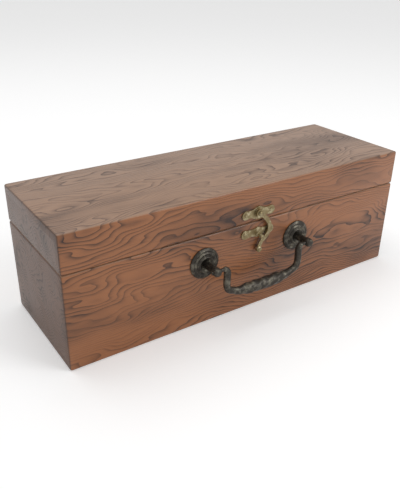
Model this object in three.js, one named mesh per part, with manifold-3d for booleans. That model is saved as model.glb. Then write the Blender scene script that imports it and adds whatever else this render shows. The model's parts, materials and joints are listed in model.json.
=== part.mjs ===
// Wooden bottle box with a hinged lid, a swing latch and a twisted drop handle.
// Millimetres, +Z up, +X along the box; the origin is the middle of its underside.

import * as THREE from 'three';
import { mergeVertices } from 'three/addons/utils/BufferGeometryUtils.js';
import { RoundedBoxGeometry } from 'three/addons/geometries/RoundedBoxGeometry.js';
import Module from 'manifold-3d';

const wasm = await Module();
wasm.setup();

// Box
const boxLength = 350;
const boxWidth = 115;
const boxHeight = 117;
const seamHeight = 84;
const seamGap = 0.3;
const wall = 9;
const panel = 7;
const edgeRadius = 1.8;
const edgeSteps = 2;

// Running clearance round every shank, pin and bore
const clearance = 0.3;

// Drop handle
const handleCentre = -2;
const postSpacing = 100;
const pivotHeight = 59.5;
const pivotReach = 18;
const rosetteRadius = 14;
const rosetteHeight = 4.4;
const stemRadius = 3.3;
const postHeadRadius = 3.9;
const postShankRadius = 2;
const washerRadius = 5;
const washerThickness = 1;
const nutAcross = 7;
const nutThickness = 3.2;
const bailPinRadius = 1.5;
const bailPinTail = 5.2;
const bailArmInset = 11;
const bailDrop = 26;
const bailCornerRise = 7;
const bailCornerInset = 8;
const bailArmRadius = 3.2;
const twistRadius = 5.6;
const twistLength = 54;
const twistPitch = 44;
const twistFacets = 12;
const twistLobe = 0.16;

// Swing latch
const latchCentre = 3;
const latchPivotHeight = 92.5;
const latchPlate = 1.1;
const latchPlateReach = 13.5;
const latchLobe = 4;
const latchWaist = 2.6;
const bossRadius = 4;
const bossHeight = 1;
const rivetRadius = 1.2;
const rivetHeadRadius = 2.4;
const armWidth = 3.8;
const armThickness = 1.2;
const armBulge = 11.6;
const knobDrop = 33.5;
const knobRadius = 2.8;
const keeperDrop = 18;
const catchDrop = 20;
const catchStemRadius = 1.4;
const catchBallRadius = 2.3;
const catchReach = 6;

// Rear hinges
const hingeSpacing = 210;
const hingeLength = 26;
const leafHeight = 15;
const leafThickness = 1;
const knuckleRadius = 2;
const hingePinRadius = 0.8;
const hingeCap = 1.6;
const hingeScrewSpacing = 16;

// Wood screws
const screwShankRadius = 0.9;
const screwShank = 5;
const screwHeadRadius = 1.9;
const screwHeadHeight = 0.8;

const roundSteps = 24;
const smallSteps = 16;

const front = -boxWidth / 2;
const back = boxWidth / 2;
const lidBase = seamHeight + seamGap;
const hingeAxisY = back + knuckleRadius;
const hingeAxisZ = seamHeight + seamGap / 2;

const walnut = { color: 0x6e3f20, roughness: 0.5, metalness: 0 };
const brass = { color: 0x6b5a35, roughness: 0.45, metalness: 0.9 };
const iron = { color: 0x2b2622, roughness: 0.5, metalness: 0.8 };
const steel = { color: 0x8d8c88, roughness: 0.4, metalness: 0.9 };

// A closed three.js geometry as a solid that can be cut and joined
function solid(geometry) {
  const plain = geometry.clone();
  plain.deleteAttribute('normal');
  plain.deleteAttribute('uv');
  const merged = mergeVertices(plain, 1e-4);
  return new wasm.Manifold(new wasm.Mesh({
    numProp: 3,
    vertProperties: new Float32Array(merged.attributes.position.array),
    triVerts: new Uint32Array(merged.index.array),
  }));
}

function geometryOf(manifold) {
  const cut = manifold.getMesh();
  const geometry = new THREE.BufferGeometry();
  geometry.setAttribute('position', new THREE.BufferAttribute(cut.vertProperties, 3));
  geometry.setIndex(new THREE.BufferAttribute(cut.triVerts, 1));
  geometry.computeVertexNormals();
  return geometry;
}

const box = new THREE.Group();

function place(name, shape, finish) {
  const geometry = shape.isBufferGeometry ? shape : geometryOf(shape);
  const mesh = new THREE.Mesh(geometry, new THREE.MeshStandardMaterial(finish));
  mesh.name = name;
  box.add(mesh);
}

function block(low, high) {
  const size = high.map((value, axis) => value - low[axis]);
  const middle = high.map((value, axis) => (value + low[axis]) / 2);
  return solid(new THREE.BoxGeometry(...size).translate(...middle));
}

function rodX(radius, from, to, y, z, steps = smallSteps) {
  const rod = new THREE.CylinderGeometry(radius, radius, to - from, steps);
  rod.rotateZ(Math.PI / 2).translate((from + to) / 2, y, z);
  return solid(rod);
}

function rodY(radius, from, to, x, z, steps = smallSteps) {
  const rod = new THREE.CylinderGeometry(radius, radius, to - from, steps);
  rod.translate(x, (from + to) / 2, z);
  return solid(rod);
}

// A turned piece that stands out of the front face: profile pairs are radius and reach
function turnedOnFront(profile, x, z, steps = roundSteps) {
  const points = profile.map(([radius, reach]) => new THREE.Vector2(radius, reach));
  const turned = new THREE.LatheGeometry(points, steps);
  turned.rotateX(Math.PI).translate(x, front, z);
  return turned;
}

// A flat outline in x and z, given a thickness that stands out of the front face
function plateOnFront(outline, from, thickness, x, z, steps = 8) {
  const options = { depth: thickness, bevelEnabled: false, curveSegments: steps };
  const plate = new THREE.ExtrudeGeometry(outline, options);
  plate.rotateX(Math.PI / 2).translate(x, front - from, z);
  return solid(plate);
}

// Places of the two posts, the plate screws and the hinges
const postPlaces = [-1, 1].map((side) => ({
  side,
  name: side < 0 ? 'left' : 'right',
  x: handleCentre + side * postSpacing / 2,
}));
const hingePlaces = [-1, 1].map((side) => ({
  name: side < 0 ? 'left' : 'right',
  x: side * hingeSpacing / 2,
}));
const keeperHeight = latchPivotHeight - keeperDrop;
const plateScrewPlaces = [-1, 1].map((side) => ({
  name: side < 0 ? 'left' : 'right',
  x: latchCentre + side * latchPlateReach,
}));

function screwOnFront(name, x, z) {
  const seat = latchPlate;
  place(name, turnedOnFront([
    [0, -screwShank],
    [screwShankRadius, -screwShank + screwShankRadius],
    [screwShankRadius, seat],
    [screwHeadRadius, seat],
    [screwHeadRadius * 0.8, seat + screwHeadHeight * 0.7],
    [0, seat + screwHeadHeight],
  ], x, z, smallSteps), brass);
}

// Boards, cut from the rounded outside of the closed box
function envelope(bottom, top) {
  const height = top - bottom;
  const shape = new RoundedBoxGeometry(boxLength, boxWidth, height, edgeSteps, edgeRadius);
  return solid(shape.translate(0, 0, (top + bottom) / 2));
}

function frameOfBoards(prefix, kind, outside, low, high) {
  const inner = boxLength / 2 - wall;
  const end = boxLength / 2;
  const faces = {
    front: block([-end, front, low], [end, front + wall, high]),
    back: block([-end, back - wall, low], [end, back, high]),
    left: block([-end, front + wall, low], [-inner, back - wall, high]),
    right: block([inner, front + wall, low], [end, back - wall, high]),
  };
  for (const [side, board] of Object.entries(faces)) {
    const ending = side === 'left' || side === 'right' ? kind.end : kind.side;
    place(`${prefix}_${side}_${ending}`, bored(board.intersect(outside), side, low), walnut);
  }
}

// Holes for the screws, rivet and posts that go into a board
function bored(board, side, low) {
  const inBody = low < seamHeight;
  let result = board;
  const hole = screwShankRadius + clearance;
  if (side === 'front' && inBody) {
    for (const post of postPlaces) {
      const bore = rodY(postShankRadius + clearance, front - 1, front + wall + 1, post.x, pivotHeight);
      result = result.subtract(bore);
    }
  }
  if (side === 'front') {
    const height = inBody ? keeperHeight : latchPivotHeight;
    for (const screw of plateScrewPlaces) {
      result = result.subtract(rodY(hole, front - 1, front + screwShank + clearance, screw.x, height));
    }
  }
  if (side === 'front' && !inBody) {
    const depth = front + screwShank + clearance;
    result = result.subtract(rodY(rivetRadius + clearance, front - 1, depth, latchCentre, latchPivotHeight));
  }
  if (side === 'back') {
    const sign = inBody ? -1 : 1;
    for (const screw of hingeScrewPlaces(sign)) {
      result = result.subtract(rodY(hole, back - screwShank - clearance, back + 1, screw.x, screw.z));
    }
  }
  return result;
}

function hingeScrewPlaces(sign) {
  const places = [];
  for (const hinge of hingePlaces) {
    for (const [index, side] of [-1, 1].entries()) {
      places.push({
        name: `${hinge.name}_hinge_${sign < 0 ? 'body' : 'lid'}_screw_${index + 1}`,
        x: hinge.x + side * hingeScrewSpacing / 2,
        z: hingeAxisZ + sign * (knuckleRadius + (leafHeight - knuckleRadius) / 2),
      });
    }
  }
  return places;
}

function boards() {
  const bodyOutside = envelope(0, seamHeight);
  const lidOutside = envelope(lidBase, boxHeight);
  const end = boxLength / 2;
  const base = block([-end, front, 0], [end, back, panel]);
  const top = block([-end, front, boxHeight - panel], [end, back, boxHeight]);
  place('base_panel', base.intersect(bodyOutside), walnut);
  place('lid_top_panel', top.intersect(lidOutside), walnut);
  frameOfBoards('body', { side: 'panel', end: 'end' }, bodyOutside, panel, seamHeight);
  frameOfBoards('lid', { side: 'rail', end: 'end_rail' }, lidOutside, lidBase, boxHeight - panel);
}

// Rosettes, posts, washers and nuts of the handle
function handlePosts() {
  const bore = stemRadius + clearance;
  const rosetteProfile = [
    [bore, 0], [rosetteRadius, 0], [rosetteRadius, 1.1], [12.9, 2], [12, 2.7], [11.1, 2.2],
    [10.2, 2.5], [9.4, 3.3], [8.5, 2.9], [7.8, 2.7], [7.2, 3.9], [6.4, rosetteHeight],
    [5.6, 3.7], [4.7, 2.8], [bore, 2.4], [bore, 0],
  ];
  const inside = -(wall + washerThickness + nutThickness + 1);
  for (const post of postPlaces) {
    place(`${post.name}_rosette`, turnedOnFront(rosetteProfile, post.x, pivotHeight, 32), iron);
    const turned = solid(turnedOnFront([
      [0, inside],
      [postShankRadius, inside],
      [postShankRadius, 0],
      [stemRadius, 0],
      [stemRadius, pivotReach - postHeadRadius],
      [postHeadRadius, pivotReach - postHeadRadius * 0.5],
      [postHeadRadius, pivotReach + postHeadRadius * 0.4],
      [postHeadRadius * 0.75, pivotReach + postHeadRadius * 0.85],
      [0, pivotReach + postHeadRadius],
    ], post.x, pivotHeight));
    const eye = rodX(bailPinRadius + clearance, post.x - 8, post.x + 8, front - pivotReach, pivotHeight);
    place(`${post.name}_handle_post`, turned.subtract(eye), iron);

    const hole = postShankRadius + clearance;
    const washerBack = front + wall;
    const washer = rodY(washerRadius, washerBack, washerBack + washerThickness, post.x, pivotHeight);
    const bore2 = rodY(hole, washerBack - 1, washerBack + 9, post.x, pivotHeight);
    place(`${post.name}_post_washer`, washer.subtract(bore2), steel);
    const nutBack = washerBack + washerThickness;
    const nutRadius = nutAcross / Math.sqrt(3);
    const nut = rodY(nutRadius, nutBack, nutBack + nutThickness, post.x, pivotHeight, 6);
    place(`${post.name}_post_nut`, nut.subtract(bore2), steel);
  }
}

// Centre line of the drop handle, from one pivot pin to the other
function bailPath() {
  const half = postSpacing / 2;
  const arm = half - bailArmInset;
  const low = pivotHeight - bailDrop;
  const corner = low + bailCornerRise;
  const right = [
    [half + bailPinTail, pivotHeight],
    [arm + 3, pivotHeight],
    [arm + 0.6, pivotHeight - 1],
    [arm, pivotHeight - 4],
    [arm, corner + 3],
    [arm - 1.6, corner - 1.5],
    [arm - bailCornerInset, low + 2.6],
    [twistLength / 2, low + 1.2],
    [twistLength / 4, low + 0.3],
    [0, low],
  ];
  const left = right.slice(0, -1).reverse().map(([x, z]) => [-x, z]);
  const points = [...right, ...left].map(([x, z]) => (
    new THREE.Vector3(handleCentre + x, front - pivotReach, z)
  ));
  return new THREE.CatmullRomCurve3(points, false, 'centripetal');
}

// The section's radius where the path is offset from the handle's middle by x and stands at height z
function bailRadius(x, z) {
  const offset = Math.abs(x - handleCentre);
  const pinEnd = postSpacing / 2 - bailArmInset + 4;
  if (offset > pinEnd) return bailPinRadius;
  if (z > pivotHeight - 1.5) return bailPinRadius + (bailArmRadius - bailPinRadius) * 0.7;
  const swell = THREE.MathUtils.smoothstep(twistLength / 2 + 6 - offset, 0, 20);
  return bailArmRadius + (twistRadius - bailArmRadius) * swell;
}

// A tube whose four-lobed section turns as it crosses the middle of the handle
function twistedBail() {
  const path = bailPath();
  const rings = 110;
  const positions = [];
  const index = [];
  const across = new THREE.Vector3(0, -1, 0);
  for (let ring = 0; ring <= rings; ring += 1) {
    const share = ring / rings;
    const centre = path.getPointAt(share);
    const along = path.getTangentAt(share);
    const side = new THREE.Vector3().crossVectors(along, across).normalize();
    const offset = centre.x - handleCentre;
    const radius = bailRadius(centre.x, centre.z);
    const inTwist = THREE.MathUtils.smoothstep(twistLength / 2 + 3 - Math.abs(offset), 0, 6);
    const turn = 2 * Math.PI * THREE.MathUtils.clamp(offset, -twistLength / 2, twistLength / 2) / twistPitch;
    for (let step = 0; step < twistFacets; step += 1) {
      const angle = 2 * Math.PI * step / twistFacets;
      const lobe = 1 - inTwist * twistLobe * (0.5 - 0.5 * Math.cos(4 * (angle + turn)));
      const point = centre.clone();
      point.addScaledVector(side, radius * lobe * Math.cos(angle));
      point.addScaledVector(across, radius * lobe * Math.sin(angle));
      positions.push(point.x, point.y, point.z);
    }
  }
  for (let ring = 0; ring < rings; ring += 1) {
    for (let step = 0; step < twistFacets; step += 1) {
      const a = ring * twistFacets + step;
      const b = ring * twistFacets + (step + 1) % twistFacets;
      index.push(a, b + twistFacets, b, a, a + twistFacets, b + twistFacets);
    }
  }
  const last = rings * twistFacets;
  for (let step = 1; step < twistFacets - 1; step += 1) {
    index.push(0, step, step + 1, last, last + step + 1, last + step);
  }
  const geometry = new THREE.BufferGeometry();
  geometry.setAttribute('position', new THREE.Float32BufferAttribute(positions, 3));
  geometry.setIndex(index);
  geometry.computeVertexNormals();
  place('bail_handle', geometry, iron);
}

// A latch plate: a round middle and a screw lobe at each side, joined by concave waists
function plateOutline(middle) {
  const outline = new THREE.Shape();
  outline.absarc(latchPlateReach, 0, latchLobe, -Math.PI * 0.6, Math.PI * 0.6, false);
  outline.quadraticCurveTo(latchPlateReach - latchLobe * 1.4, latchWaist, middle * 0.9, middle * 0.75);
  outline.absarc(0, 0, middle, Math.PI * 0.3, Math.PI * 0.7, false);
  outline.quadraticCurveTo(-latchPlateReach + latchLobe * 1.4, latchWaist,
    -latchPlateReach - latchLobe * Math.cos(Math.PI * 0.6), latchLobe * Math.sin(Math.PI * 0.6));
  outline.absarc(-latchPlateReach, 0, latchLobe, Math.PI * 0.4, Math.PI * 1.6, false);
  outline.quadraticCurveTo(-latchPlateReach + latchLobe * 1.4, -latchWaist, -middle * 0.9, -middle * 0.75);
  outline.absarc(0, 0, middle, Math.PI * 1.3, Math.PI * 1.7, false);
  outline.quadraticCurveTo(latchPlateReach - latchLobe * 1.4, -latchWaist,
    latchPlateReach + latchLobe * Math.cos(-Math.PI * 0.6), latchLobe * Math.sin(-Math.PI * 0.6));
  return outline;
}

function withScrewHoles(plate, height) {
  let result = plate;
  for (const screw of plateScrewPlaces) {
    const radius = screwShankRadius + clearance;
    result = result.subtract(rodY(radius, front - latchPlate - 1, front + 1, screw.x, height));
  }
  return result;
}

function latch() {
  const upperMiddle = 5.9;
  const keeperMiddle = 4.6;
  const bossTop = latchPlate + bossHeight;
  const armBack = bossTop + clearance;
  const armFront = armBack + armThickness;
  const rivetSeat = armFront + clearance;
  const outside = front - rivetSeat - 3;

  let upper = plateOnFront(plateOutline(upperMiddle), 0, latchPlate, latchCentre, latchPivotHeight);
  upper = upper.add(rodY(bossRadius, front - bossTop, front - latchPlate / 2, latchCentre, latchPivotHeight));
  const rivetBore = rivetRadius + clearance;
  upper = upper.subtract(rodY(rivetBore, outside, front + 1, latchCentre, latchPivotHeight));
  place('latch_upper_plate', withScrewHoles(upper, latchPivotHeight), brass);

  const catchHeight = latchPivotHeight - catchDrop;
  const stemTop = catchReach - catchBallRadius * 0.8;
  let keeper = plateOnFront(plateOutline(keeperMiddle), 0, latchPlate, latchCentre, keeperHeight);
  keeper = keeper.add(solid(turnedOnFront([
    [0, latchPlate / 2],
    [catchStemRadius * 1.7, latchPlate / 2],
    [catchStemRadius * 1.5, latchPlate + 0.6],
    [catchStemRadius, latchPlate + 1.4],
    [catchStemRadius, stemTop],
    [catchBallRadius, catchReach],
    [catchBallRadius * 0.75, catchReach + catchBallRadius * 0.7],
    [0, catchReach + catchBallRadius],
  ], latchCentre, catchHeight, smallSteps)));
  place('latch_lower_plate', withScrewHoles(keeper, keeperHeight), brass);

  place('latch_pivot_rivet', turnedOnFront([
    [0, -screwShank],
    [rivetRadius, -screwShank],
    [rivetRadius, rivetSeat],
    [rivetHeadRadius, rivetSeat],
    [rivetHeadRadius * 0.85, rivetSeat + 0.8],
    [rivetHeadRadius * 0.45, rivetSeat + 1.3],
    [0, rivetSeat + 1.4],
  ], latchCentre, latchPivotHeight, smallSteps), brass);

  place('latch_arm', swingArm(armBack, outside), brass);
  for (const screw of plateScrewPlaces) {
    screwOnFront(`latch_upper_${screw.name}_screw`, screw.x, latchPivotHeight);
    screwOnFront(`latch_lower_${screw.name}_screw`, screw.x, keeperHeight);
  }
}

// The bowed arm: an eye on the rivet, a bow to the right round the catch, and a finger knob
function swingArm(armBack, outside) {
  const bow = new THREE.CatmullRomCurve3([
    new THREE.Vector3(0, 0, 0),
    new THREE.Vector3(armBulge * 0.55, -5.5, 0),
    new THREE.Vector3(armBulge, -14.5, 0),
    new THREE.Vector3(armBulge * 0.75, -22, 0),
    new THREE.Vector3(armBulge * 0.25, -26.8, 0),
    new THREE.Vector3(0, -knobDrop, 0),
  ]);
  const left = [];
  const right = [];
  const steps = 22;
  for (let step = 0; step <= steps; step += 1) {
    const centre = bow.getPointAt(step / steps);
    const along = bow.getTangentAt(step / steps);
    left.push(new THREE.Vector2(centre.x - along.y * armWidth / 2, centre.y + along.x * armWidth / 2));
    right.push(new THREE.Vector2(centre.x + along.y * armWidth / 2, centre.y - along.x * armWidth / 2));
  }
  const strip = new THREE.Shape([...right, ...left.reverse()]);
  const armFront = armBack + armThickness;
  let arm = plateOnFront(strip, armBack, armThickness, latchCentre, latchPivotHeight);
  arm = arm.add(rodY(bossRadius, front - armFront, front - armBack, latchCentre, latchPivotHeight, roundSteps));
  arm = arm.add(solid(turnedOnFront([
    [0, armBack],
    [knobRadius, armBack],
    [knobRadius, armFront + 1],
    [knobRadius * 0.7, armFront + 1.9],
    [0, armFront + 1.4],
  ], latchCentre, latchPivotHeight - knobDrop, smallSteps)));
  return arm.subtract(rodY(rivetRadius + clearance, outside, front, latchCentre, latchPivotHeight));
}

// Rear butt hinges: the body leaf has the two outer knuckles and the lid leaf the middle one
function hinges() {
  const third = hingeLength / 3;
  for (const hinge of hingePlaces) {
    const low = hinge.x - hingeLength / 2;
    const high = hinge.x + hingeLength / 2;
    const leaves = [
      { name: 'body_leaf', sign: -1, spans: [[low, low + third], [high - third, high]] },
      { name: 'lid_leaf', sign: 1, spans: [[low + third + clearance, high - third - clearance]] },
    ];
    for (const leaf of leaves) {
      const near = hingeAxisZ + leaf.sign * (knuckleRadius + clearance);
      const far = hingeAxisZ + leaf.sign * leafHeight;
      let shape = block(
        [low, back, Math.min(near, far)],
        [high, back + leafThickness, Math.max(near, far)],
      );
      for (const [from, to] of leaf.spans) {
        shape = shape.add(rodX(knuckleRadius, from, to, hingeAxisY, hingeAxisZ));
        const rise = [hingeAxisZ, near + leaf.sign].sort((a, b) => a - b);
        shape = shape.add(block([from, back, rise[0]], [to, back + leafThickness, rise[1]]));
      }
      shape = shape.subtract(rodX(hingePinRadius + clearance, low - 1, high + 1, hingeAxisY, hingeAxisZ));
      for (const screw of hingeScrewPlaces(leaf.sign)) {
        const hole = rodY(screwShankRadius + clearance, back - 1, back + leafThickness + 1, screw.x, screw.z);
        shape = shape.subtract(hole);
      }
      place(`${hinge.name}_hinge_${leaf.name}`, shape, brass);
    }
    let pin = rodX(hingePinRadius, low - clearance, high + clearance, hingeAxisY, hingeAxisZ);
    for (const [from, to] of [[low - clearance - hingeCap, low - clearance], [high + clearance, high + clearance + hingeCap]]) {
      pin = pin.add(rodX(knuckleRadius * 0.8, from, to, hingeAxisY, hingeAxisZ));
    }
    place(`${hinge.name}_hinge_pin`, pin, brass);
  }
  for (const sign of [-1, 1]) {
    for (const screw of hingeScrewPlaces(sign)) {
      const shank = new THREE.LatheGeometry([
        new THREE.Vector2(0, -screwShank),
        new THREE.Vector2(screwShankRadius, -screwShank + screwShankRadius),
        new THREE.Vector2(screwShankRadius, leafThickness),
        new THREE.Vector2(screwHeadRadius, leafThickness),
        new THREE.Vector2(screwHeadRadius * 0.8, leafThickness + screwHeadHeight * 0.7),
        new THREE.Vector2(0, leafThickness + screwHeadHeight),
      ], smallSteps);
      place(screw.name, shank.translate(screw.x, back, screw.z), brass);
    }
  }
}

boards();
handlePosts();
twistedBail();
latch();
hinges();

export default box;
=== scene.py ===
"""Wooden bottle box: finishes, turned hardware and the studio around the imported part. Metres."""

import json
import math

import bmesh
import bpy
import numpy as np
from mathutils import Matrix, Vector


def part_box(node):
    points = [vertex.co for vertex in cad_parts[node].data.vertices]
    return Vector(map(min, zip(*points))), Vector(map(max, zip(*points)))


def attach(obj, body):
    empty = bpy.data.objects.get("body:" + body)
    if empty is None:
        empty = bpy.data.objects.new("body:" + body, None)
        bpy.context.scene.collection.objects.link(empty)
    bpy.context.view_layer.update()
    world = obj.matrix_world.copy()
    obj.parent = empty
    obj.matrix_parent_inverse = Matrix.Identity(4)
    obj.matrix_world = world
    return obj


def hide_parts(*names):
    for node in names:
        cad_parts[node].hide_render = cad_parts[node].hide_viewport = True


bl_info = {
    "name": "Wooden Bottle Box",
    "version": (1, 0, 0),
    "blender": (4, 5, 0),
    "location": "View3D > Sidebar > Bottle Box",
    "description": "Figured stained wood, turned handle hardware, swing latch and a plain studio",
    "category": "Object",
}

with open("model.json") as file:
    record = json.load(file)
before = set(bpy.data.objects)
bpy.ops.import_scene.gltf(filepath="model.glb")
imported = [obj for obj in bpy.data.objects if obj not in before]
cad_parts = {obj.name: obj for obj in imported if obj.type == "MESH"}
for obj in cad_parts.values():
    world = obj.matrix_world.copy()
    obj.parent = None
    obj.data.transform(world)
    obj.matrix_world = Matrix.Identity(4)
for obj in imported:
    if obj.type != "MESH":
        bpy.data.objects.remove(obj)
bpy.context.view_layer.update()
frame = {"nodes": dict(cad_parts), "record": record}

# Places and node names from the frame

MM = 0.001
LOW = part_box("base_panel")[0]
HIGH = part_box("lid_top_panel")[1]
FRONT = LOW.y
BOX_LENGTH = HIGH.x - LOW.x
BOX_HEIGHT = HIGH.z - LOW.z

WOOD_NODES = [name for name in frame["nodes"] if name.endswith(("panel", "rail", "end"))]
LATCH_NODES = ["latch_upper_plate", "latch_lower_plate", "latch_arm", "latch_pivot_rivet"]
HINGE_NODES = [name for name in frame["nodes"] if "hinge" in name and "screw" not in name]
SCREW_NODES = [name for name in frame["nodes"] if "screw" in name]
STEEL_NODES = [name for name in frame["nodes"] if name.endswith(("washer", "nut"))]
BODY_OF = {node: body for body, nodes in frame["record"]["behaviour"]["bodies"].items() for node in nodes}

# Edges: widths in metres, and the angle from which a meeting of faces stays sharp

BRASS_EASING = 0.00015
BRONZE_EASING = 0.0002
STEEL_EASING = 0.0002
HARDWARE_CREASE = math.radians(40)
BOARD_CREASE = math.radians(50)
BAIL_CREASE = math.radians(60)
TURNED_CREASE = math.radians(32)
MERGE_DISTANCE = 1e-6
FLAT_ANGLE = math.radians(0.5)

# Turned rosettes

TURNING_STEPS = 64
ROSETTE_ROUNDING = 0.5
ROUNDING_STEPS = 3
LARGEST_SHARE = 0.45

# Wood figure: the stretch of each noise along x, y and z, and how far it shifts the rings in metres

RING_SPACING = 0.0042
BOARD_LEAN = 0.85
SWELL_STRETCH = (9.0, 26.0, 26.0)
SWELL_SHIFT = 0.085
RIPPLE_STRETCH = (30.0, 120.0, 120.0)
RIPPLE_SHIFT = 0.006
STRENGTH_STRETCH = (5.0, 60.0, 60.0)
FIBRE_STRETCH = (60.0, 1500.0, 1500.0)
CLOUD_STRETCH = (8.0, 22.0, 22.0)
# Painted shade: the dark colour that the end faces are blended towards, for the shade on the box's ends
END_PAINTED_SHADE = (0.022, 0.015, 0.011)

# Metal wear

PATCH_SCALE = 220.0
PIT_SCALE = 1400.0
PIT_ROUGHNESS = 0.25
PIT_MIDDLE = 0.12
BRONZE_RUBBED = (0.24, 0.22, 0.17)
BRASS_RUBBED = (0.62, 0.55, 0.36)
STEEL = (0.42, 0.41, 0.4)
STEEL_RUBBED = (0.6, 0.6, 0.58)

# Studio: each light's name, place, size and share of the key light's power, then floor, world and camera

LIGHTS = (
    ("key_light", (0.75, -1.05, 0.95), 0.7, 1.0),
    ("top_light", (-0.2, 0.5, 1.3), 0.9, 0.55),
)
FLOOR_HALF = 6.0
FLOOR_DROP = 0.0002
FLOOR_GLOW = 0.22
WORLD_LIGHT = 0.6
WORLD_SEEN_EXTRA = 0.4
CAMERA_AZIMUTH = math.radians(-34.29)
CAMERA_ELEVATION = math.radians(27.14)
CAMERA_ROLL = math.radians(0.892)
CAMERA_LENS = 43.49
CAMERA_PLACE = (-0.84793, -1.17148, 0.84762)


# Settings

def colour(label, description, default):
    """A colour that a user can change."""
    return bpy.props.FloatVectorProperty(
        name=label, description=description, default=default, size=3, subtype="COLOR", min=0, max=1)


class BottleBoxSettings(bpy.types.PropertyGroup):
    """Colours and sizes a user would change."""
    front_light: colour("Front light grain", "Open grain on the front boards", (0.33, 0.125, 0.045))
    front_dark: colour("Front dark grain", "Ring lines on the front boards", (0.035, 0.013, 0.007))
    # Painted sheen: the lid colours are lighter and greyer than the front's, for light glancing off the
    # lacquer on the top
    top_light: colour("Top light grain", "Open grain on the lid", (0.36, 0.21, 0.13))
    top_dark: colour("Top dark grain", "Ring lines on the lid", (0.07, 0.035, 0.022))
    ring_spacing: bpy.props.FloatProperty(
        name="Ring spacing", description="Distance between growth rings",
        default=RING_SPACING, unit="LENGTH", min=0.001, max=0.02)
    bronze: colour("Handle bronze", "Blackened bronze of the handle", (0.055, 0.048, 0.04))
    brass: colour("Latch brass", "Aged brass of the latch and hinges", (0.27, 0.21, 0.11))
    key_power: bpy.props.FloatProperty(
        name="Key light power", description="Soft light from the front right",
        default=7.0, unit="POWER", min=0, max=100)


# Mesh helpers

def mesh_piece(name, vertices, quads, body, replaced, material, crease):
    """Puts vertices and faces into a piece that rides on a body and stands for CAD nodes."""
    mesh = bpy.data.meshes.new(name)
    mesh.from_pydata(vertices.tolist(), [], quads)
    mesh.update()
    piece = bpy.data.objects.new(name, mesh)
    bpy.context.scene.collection.objects.link(piece)
    finish_piece(piece, body, replaced, material, crease)


def finish_piece(piece, body, replaced, material, crease):
    """Outward faces, smooth shading with sharp creases, one material, and its place in the part."""
    work = bmesh.new()
    work.from_mesh(piece.data)
    bmesh.ops.recalc_face_normals(work, faces=work.faces)
    for edge in work.edges:
        edge.smooth = len(edge.link_faces) != 2 or edge.calc_face_angle(0) < crease
    for face in work.faces:
        face.smooth = True
    work.to_mesh(piece.data)
    work.free()
    piece.data.materials.clear()
    piece.data.materials.append(material)
    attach(piece, body)
    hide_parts(*replaced)


def revolve(profile, centre):
    """A closed profile of radius and reach in mm, turned about the line that leaves the front at centre.

    Each point lies at the centre plus radius times the cosine of the angle along x and its sine along z,
    at its reach in front of the front face."""
    pairs = np.array(profile, float) * MM
    angle = np.linspace(0, 2 * np.pi, TURNING_STEPS, endpoint=False)
    radius, reach = pairs[:, 0:1], pairs[:, 1:2]
    x = centre[0] + radius * np.cos(angle)
    z = centre[1] + radius * np.sin(angle)
    y = FRONT - reach + 0 * angle
    return np.stack([x, y, z], axis=-1).reshape(-1, 3), ring_faces(len(pairs), TURNING_STEPS)


def ring_faces(rows, columns):
    """Quads of a grid that closes on itself along its rows and along its columns."""
    row, column = np.meshgrid(np.arange(rows), np.arange(columns), indexing="ij")
    start = row * columns
    following_start = (row + 1) % rows * columns
    following = (column + 1) % columns
    quads = np.stack([start + column, start + following,
                      following_start + following, following_start + column], axis=-1)
    return quads.reshape(-1, 4).tolist()


def part_way(corner, other, distance):
    """The point at a distance from a corner towards its neighbour, kept short of half way."""
    step = other - corner
    length = np.linalg.norm(step)
    return corner + step / max(length, 1e-9) * min(distance, LARGEST_SHARE * length)


def rounded(profile, distance):
    """Rounds each corner of a profile with a short curve that leaves its straight runs where they are.

    The curve is the quadratic blend of a point before the corner, the corner, and a point after it."""
    points = [np.array(point, float) for point in profile]
    result = [points[0]]
    for before, corner, after in zip(points, points[1:], points[2:]):
        start = part_way(corner, before, distance)
        end = part_way(corner, after, distance)
        for t in np.linspace(0, 1, ROUNDING_STEPS + 1):
            result.append((1 - t) ** 2 * start + 2 * t * (1 - t) * corner + t * t * end)
    result.append(points[-1])
    return result


def rosette_profile(rim, top):
    """Radius and reach in mm round a rosette's section: back, rim, two low rings, the high ring, bore."""
    return [
        (3.6, 0.05), (rim, 0.05), (rim, 1.1),
        (12.9, 2.0), (12.0, 2.7), (11.1, 2.2), (10.2, 2.5), (9.4, 3.3), (8.5, 2.9), (7.8, 2.7),
        (7.2, 3.9), (6.4, top), (5.6, 3.7), (4.7, 2.8), (3.6, 2.4)]


def merged_copy(node, name, material, easing, crease=HARDWARE_CREASE):
    """A copy of a CAD node with its loose triangles joined, its edges eased and its flats shaded flat."""
    mesh = frame["nodes"][node].data.copy()
    work = bmesh.new()
    work.from_mesh(mesh)
    bmesh.ops.remove_doubles(work, verts=work.verts, dist=MERGE_DISTANCE)
    bmesh.ops.dissolve_limit(work, angle_limit=FLAT_ANGLE, verts=work.verts, edges=work.edges)
    work.to_mesh(mesh)
    work.free()
    piece = bpy.data.objects.new(name, mesh)
    bpy.context.scene.collection.objects.link(piece)
    finish_piece(piece, BODY_OF[node], [node], material, crease)
    if easing:
        modifier = piece.modifiers.new("eased_edges", "BEVEL")
        modifier.width = easing
        modifier.segments = 2
        modifier.limit_method = "ANGLE"
        modifier.angle_limit = crease
        modifier.harden_normals = True
    return piece


# Shader helpers

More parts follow.
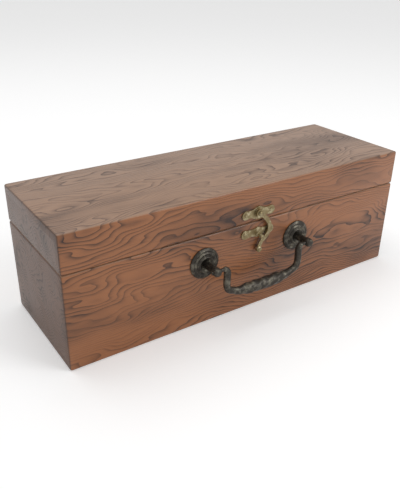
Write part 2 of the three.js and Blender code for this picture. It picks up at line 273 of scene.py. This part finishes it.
class Nodes:
    """Short calls for building a node tree."""

    def __init__(self, tree):
        self.tree = tree

    def feed(self, node, inputs):
        """Links or sets each named or numbered input of a node."""
        for key, value in inputs.items():
            if isinstance(value, bpy.types.NodeSocket):
                self.tree.links.new(value, node.inputs[key])
            else:
                node.inputs[key].default_value = value

    def add(self, kind, inputs=None, **settings):
        """A new node with its settings and inputs."""
        node = self.tree.nodes.new(kind)
        for key, value in settings.items():
            setattr(node, key, value)
        self.feed(node, inputs or {})
        return node

    def math(self, operation, a, b=0.0):
        """One step of arithmetic."""
        return self.add("ShaderNodeMath", {0: a, 1: b}, operation=operation).outputs[0]

    def plus(self, a, b):
        """The sum of two values."""
        return self.math("ADD", a, b)

    def times(self, a, b):
        """The product of two values."""
        return self.math("MULTIPLY", a, b)

    def ramp(self, value, low, high, out_low=0.0, out_high=1.0):
        """A smooth step of the value from one range to another."""
        limits = {0: value, 1: low, 2: high, 3: out_low, 4: out_high}
        return self.add("ShaderNodeMapRange", limits, interpolation_type="SMOOTHSTEP").outputs[0]

    def noise(self, vector, scale, detail, rough):
        """Layered noise between 0 and 1."""
        inputs = {"Vector": vector, "Scale": scale, "Detail": detail, "Roughness": rough}
        return self.add("ShaderNodeTexNoise", inputs).outputs["Fac"]

    def streaks(self, vector, stretch, detail, rough=0.5):
        """Layered noise drawn out along the axes with the smaller stretch."""
        place = self.add("ShaderNodeVectorMath", {0: vector, 1: stretch}, operation="MULTIPLY").outputs[0]
        return self.noise(place, 1.0, detail, rough)

    def blend(self, share, a, b):
        """The first colour at share 0 and the second at share 1."""
        first, second = (
            value if isinstance(value, bpy.types.NodeSocket) else (*value, 1.0) for value in (a, b))
        return self.add("ShaderNodeMix", {0: share, 6: first, 7: second}, data_type="RGBA").outputs[2]

    def bump(self, height, distance, strength):
        """A normal that follows a height."""
        inputs = {"Height": height, "Distance": distance, "Strength": strength}
        return self.add("ShaderNodeBump", inputs).outputs[0]


def new_group(name, inputs, outputs):
    """An empty shader group with named inputs and float outputs."""
    tree = bpy.data.node_groups.new(name, "ShaderNodeTree")
    for label, kind, default in inputs:
        socket = tree.interface.new_socket(name=label, in_out="INPUT", socket_type=kind)
        if default is not None:
            socket.default_value = default
    for label in outputs:
        tree.interface.new_socket(name=label, in_out="OUTPUT", socket_type="NodeSocketFloat")
    return Nodes(tree), tree.nodes.new("NodeGroupInput").outputs, tree.nodes.new("NodeGroupOutput")


def wood_figure_group():
    """Growth rings, fine fibre and slow clouds along the boards.

    The depth through the log is z plus the boards' lean times y, shifted by a slow and a fine noise. What
    is left of it after division by the spacing is the place between two rings, and the third power of that
    is the dark line."""
    n, given, leave = new_group(
        "wood_figure",
        [("Vector", "NodeSocketVector", None), ("Spacing", "NodeSocketFloat", RING_SPACING)],
        ["Rings", "Fibre", "Cloud"])
    place = given["Vector"]
    swell = n.streaks(place, SWELL_STRETCH, 2.0, 0.45)
    ripple = n.streaks(place, RIPPLE_STRETCH, 2.0)
    parts = n.add("ShaderNodeSeparateXYZ", {0: place}).outputs
    depth = n.plus(parts[2], n.times(parts[1], BOARD_LEAN))
    depth = n.plus(depth, n.times(swell, SWELL_SHIFT))
    depth = n.plus(depth, n.times(ripple, RIPPLE_SHIFT))
    phase = n.math("FRACT", n.math("DIVIDE", depth, given["Spacing"]))
    late = n.math("POWER", phase, 3.0)
    fall = n.ramp(phase, 0.93, 1.0, 1.0, 0.0)
    strength = n.ramp(n.streaks(place, STRENGTH_STRETCH, 2.0), 0.35, 0.65, 0.35, 1.0)
    n.feed(leave, {
        "Rings": n.times(n.times(late, fall), strength),
        "Fibre": n.streaks(place, FIBRE_STRETCH, 3.0, 0.6),
        "Cloud": n.streaks(place, CLOUD_STRETCH, 3.0)})


def wear_group():
    """Patches of rubbed metal and fine pitting, both from layered noise."""
    n, given, leave = new_group(
        "metal_wear",
        [("Vector", "NodeSocketVector", None), ("Amount", "NodeSocketFloat", 0.5)],
        ["Rubbed", "Pits"])
    broad = n.noise(given["Vector"], PATCH_SCALE, 4.0, 0.6)
    n.feed(leave, {
        "Rubbed": n.times(n.ramp(broad, 0.45, 0.7), given["Amount"]),
        "Pits": n.noise(given["Vector"], PIT_SCALE, 3.0, 0.6)})


def new_material(name):
    """A material that holds only a Principled shader and its output."""
    material = bpy.data.materials.new(name)
    material.use_nodes = True
    material.node_tree.nodes.clear()
    n = Nodes(material.node_tree)
    shader = n.add("ShaderNodeBsdfPrincipled")
    n.add("ShaderNodeOutputMaterial", {0: shader.outputs[0]})
    return material, n, shader


def wood_material(settings):
    """Stained wood: ring lines over open grain, with painted sheen as lighter, greyer colours on faces that
    point up, and painted shade darkening the ends.
    """
    _, n, shader = new_material("figured_wood")
    figure = n.add("ShaderNodeGroup", {
        "Vector": n.add("ShaderNodeTexCoord").outputs["Object"],
        "Spacing": settings.ring_spacing}, node_tree=bpy.data.node_groups["wood_figure"]).outputs
    facing = n.add("ShaderNodeSeparateXYZ", {0: n.add("ShaderNodeNewGeometry").outputs["Normal"]}).outputs
    # Painted sheen: faces that point up take the lighter, greyer lid colours
    painted_top_sheen = n.ramp(facing[2], 0.5, 0.8)
    # Painted shade: faces turned along x are darkened towards the painted end shade colour
    painted_end_shade = n.ramp(n.math("ABSOLUTE", facing[0]), 0.5, 0.8, 0.0, 0.62)
    light = n.blend(painted_top_sheen, settings.front_light, settings.top_light)
    dark = n.blend(painted_top_sheen, settings.front_dark, settings.top_dark)
    share = n.plus(figure["Rings"], n.ramp(figure["Cloud"], 0.45, 0.75, 0.0, 0.55))
    share = n.plus(share, n.ramp(figure["Fibre"], 0.5, 0.75, 0.0, 0.25))
    share = n.add("ShaderNodeClamp", {0: share}).outputs[0]
    height = n.plus(n.times(figure["Rings"], -1.0), n.times(figure["Fibre"], 0.35))
    n.feed(shader, {
        "Base Color": n.blend(painted_end_shade, n.blend(share, light, dark), END_PAINTED_SHADE),
        "Roughness": n.ramp(share, 0.0, 1.0, 0.36, 0.5),
        "Normal": n.bump(height, 0.0004, 0.6),
        "Coat Weight": 0.25,
        "Coat Roughness": 0.3})


def metal_material(name, base, rubbed, amount, roughness, metallic):
    """Dark metal, rubbed bright in patches and finely pitted."""
    _, n, shader = new_material(name)
    wear = n.add("ShaderNodeGroup", {
        "Vector": n.add("ShaderNodeTexCoord").outputs["Object"],
        "Amount": amount}, node_tree=bpy.data.node_groups["metal_wear"]).outputs
    n.feed(shader, {
        "Base Color": n.blend(wear["Rubbed"], base, rubbed),
        "Roughness": n.plus(n.times(wear["Pits"], PIT_ROUGHNESS), roughness - PIT_MIDDLE),
        "Metallic": metallic,
        "Normal": n.bump(wear["Pits"], 0.00012, 0.5)})


# Operators

class BOTTLEBOX_OT_finishes(bpy.types.Operator):
    """Build the wood and metal materials."""
    bl_idname = "bottlebox.finishes"
    bl_label = "Finishes"

    def execute(self, context):
        settings = context.scene.bottle_box
        wood_figure_group()
        wear_group()
        wood_material(settings)
        metal_material("rubbed_bronze", settings.bronze, BRONZE_RUBBED,
                       amount=0.7, roughness=0.42, metallic=0.75)
        metal_material("worn_brass", settings.brass, BRASS_RUBBED,
                       amount=0.8, roughness=0.38, metallic=0.9)
        metal_material("plated_steel", STEEL, STEEL_RUBBED,
                       amount=0.6, roughness=0.4, metallic=0.95)
        return {"FINISHED"}


class BOTTLEBOX_OT_boards(bpy.types.Operator):
    """Dress the boards of the body and lid."""
    bl_idname = "bottlebox.boards"
    bl_label = "Boards"

    def execute(self, context):
        wood = bpy.data.materials["figured_wood"]
        for node in WOOD_NODES:
            merged_copy(node, node + "_board", wood, 0.0, BOARD_CREASE)
        return {"FINISHED"}


class BOTTLEBOX_OT_handle(bpy.types.Operator):
    """Turn the rosettes, ease the posts and smooth the twisted bail."""
    bl_idname = "bottlebox.handle"
    bl_label = "Handle"

    def execute(self, context):
        bronze = bpy.data.materials["rubbed_bronze"]
        for side in ("left", "right"):
            low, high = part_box(f"{side}_rosette")
            centre = ((low.x + high.x) / 2, (low.z + high.z) / 2)
            profile = rosette_profile((high.x - low.x) / 2 / MM, (high.y - low.y) / MM)
            vertices, quads = revolve(rounded(profile, ROSETTE_ROUNDING), centre)
            mesh_piece(f"{side}_rosette_turned", vertices, quads, "box_body", [f"{side}_rosette"],
                       bronze, TURNED_CREASE)
            merged_copy(f"{side}_handle_post", f"{side}_post_turned", bronze,
                        BRONZE_EASING)
        bail = merged_copy("bail_handle", "twisted_bail", bronze, 0.0, BAIL_CREASE)
        smooth = bail.modifiers.new("smooth", "SUBSURF")
        smooth.levels = 1
        smooth.render_levels = 1
        return {"FINISHED"}


class BOTTLEBOX_OT_latch(bpy.types.Operator):
    """Finish the latch plates, arm, rivet, hinges, screws and fixings."""
    bl_idname = "bottlebox.latch"
    bl_label = "Latch and hinges"

    def execute(self, context):
        brass = bpy.data.materials["worn_brass"]
        steel = bpy.data.materials["plated_steel"]
        for node in LATCH_NODES + HINGE_NODES + SCREW_NODES:
            merged_copy(node, node + "_finished", brass, BRASS_EASING)
        for node in STEEL_NODES:
            merged_copy(node, node + "_finished", steel, STEEL_EASING)
        return {"FINISHED"}


class BOTTLEBOX_OT_stage(bpy.types.Operator):
    """Pale floor, soft lights and the camera at the photograph's angle."""
    bl_idname = "bottlebox.stage"
    bl_label = "Stage"

    def execute(self, context):
        build_floor()
        build_world()
        build_lights(context.scene.bottle_box.key_power)
        build_camera()
        context.scene.view_settings.view_transform = "Standard"
        return {"FINISHED"}


def build_floor():
    """A wide pale square just under the box, which glows a little to the camera alone."""
    corners = np.array([[-1, -1, 0], [1, -1, 0], [1, 1, 0], [-1, 1, 0]], float) * FLOOR_HALF
    mesh = bpy.data.meshes.new("floor")
    mesh.from_pydata((corners - [0, 0, FLOOR_DROP]).tolist(), [], [[0, 1, 2, 3]])
    floor = bpy.data.objects.new("floor", mesh)
    bpy.context.scene.collection.objects.link(floor)
    material, n, shader = new_material("pale_floor")
    n.feed(shader, {
        "Base Color": (0.93, 0.93, 0.93, 1),
        "Roughness": 0.9,
        "Emission Color": (1, 1, 1, 1),
        "Emission Strength": n.times(n.add("ShaderNodeLightPath").outputs["Is Camera Ray"], FLOOR_GLOW)})
    mesh.materials.append(material)


def build_world():
    """A white world that is brighter to the camera and through glass than it lights the scene."""
    world = bpy.data.worlds.new("studio")
    bpy.context.scene.world = world
    world.use_nodes = True
    world.node_tree.nodes.clear()
    n = Nodes(world.node_tree)
    path = n.add("ShaderNodeLightPath").outputs
    seen = n.math("MAXIMUM", path["Is Camera Ray"], path["Is Transmission Ray"])
    strength = n.plus(n.times(seen, WORLD_SEEN_EXTRA), WORLD_LIGHT)
    background = n.add("ShaderNodeBackground", {"Color": (1, 1, 1, 1), "Strength": strength})
    n.add("ShaderNodeOutputWorld", {0: background.outputs[0]})


def build_lights(key_power):
    """Square soft lights that face the middle of the box."""
    target = Vector((0, 0, BOX_HEIGHT / 2))
    for name, place, size, share in LIGHTS:
        data = bpy.data.lights.new(name, "AREA")
        data.shape = "SQUARE"
        data.size = size
        data.energy = key_power * share
        lamp = bpy.data.objects.new(name, data)
        bpy.context.scene.collection.objects.link(lamp)
        lamp.location = place
        lamp.rotation_mode = "QUATERNION"
        lamp.rotation_quaternion = (target - Vector(place)).to_track_quat("-Z", "Y")


def build_camera():
    """The camera solved from the photograph, its place in shares of the box's length."""
    level = math.cos(CAMERA_ELEVATION)
    backward = Vector((math.sin(CAMERA_AZIMUTH) * level, -math.cos(CAMERA_AZIMUTH) * level,
                       math.sin(CAMERA_ELEVATION)))
    right = (-backward).cross(Vector((0, 0, 1))).normalized()
    up = right.cross(-backward)
    rolled_right = math.cos(CAMERA_ROLL) * right + math.sin(CAMERA_ROLL) * up
    rolled_up = math.cos(CAMERA_ROLL) * up - math.sin(CAMERA_ROLL) * right
    turn = Matrix((rolled_right, rolled_up, backward)).transposed()
    data = bpy.data.cameras.new("camera")
    data.lens = CAMERA_LENS
    data.sensor_width = 36.0
    data.clip_start = 0.01
    camera = bpy.data.objects.new("camera", data)
    bpy.context.scene.collection.objects.link(camera)
    camera.matrix_world = Matrix.Translation(Vector(CAMERA_PLACE) * BOX_LENGTH) @ turn.to_4x4()
    bpy.context.scene.camera = camera


class BOTTLEBOX_PT_panel(bpy.types.Panel):
    """Lists the settings and the steps that dress the box."""
    bl_label = "Bottle Box"
    bl_idname = "BOTTLEBOX_PT_panel"
    bl_space_type = "VIEW_3D"
    bl_region_type = "UI"
    bl_category = "Bottle Box"

    def draw(self, context):
        for name in BottleBoxSettings.__annotations__:
            self.layout.prop(context.scene.bottle_box, name)
        for step in STEPS:
            self.layout.operator(step.bl_idname)


STEPS = (
    BOTTLEBOX_OT_finishes, BOTTLEBOX_OT_boards, BOTTLEBOX_OT_handle, BOTTLEBOX_OT_latch, BOTTLEBOX_OT_stage)
CLASSES = (BottleBoxSettings, *STEPS, BOTTLEBOX_PT_panel)


def register():
    for item in CLASSES:
        bpy.utils.register_class(item)
    bpy.types.Scene.bottle_box = bpy.props.PointerProperty(type=BottleBoxSettings)


def unregister():
    del bpy.types.Scene.bottle_box
    for item in reversed(CLASSES):
        bpy.utils.unregister_class(item)


def main():
    register()
    bpy.ops.bottlebox.finishes()
    bpy.ops.bottlebox.boards()
    bpy.ops.bottlebox.handle()
    bpy.ops.bottlebox.latch()
    bpy.ops.bottlebox.stage()


if __name__ == "__main__":
    main()
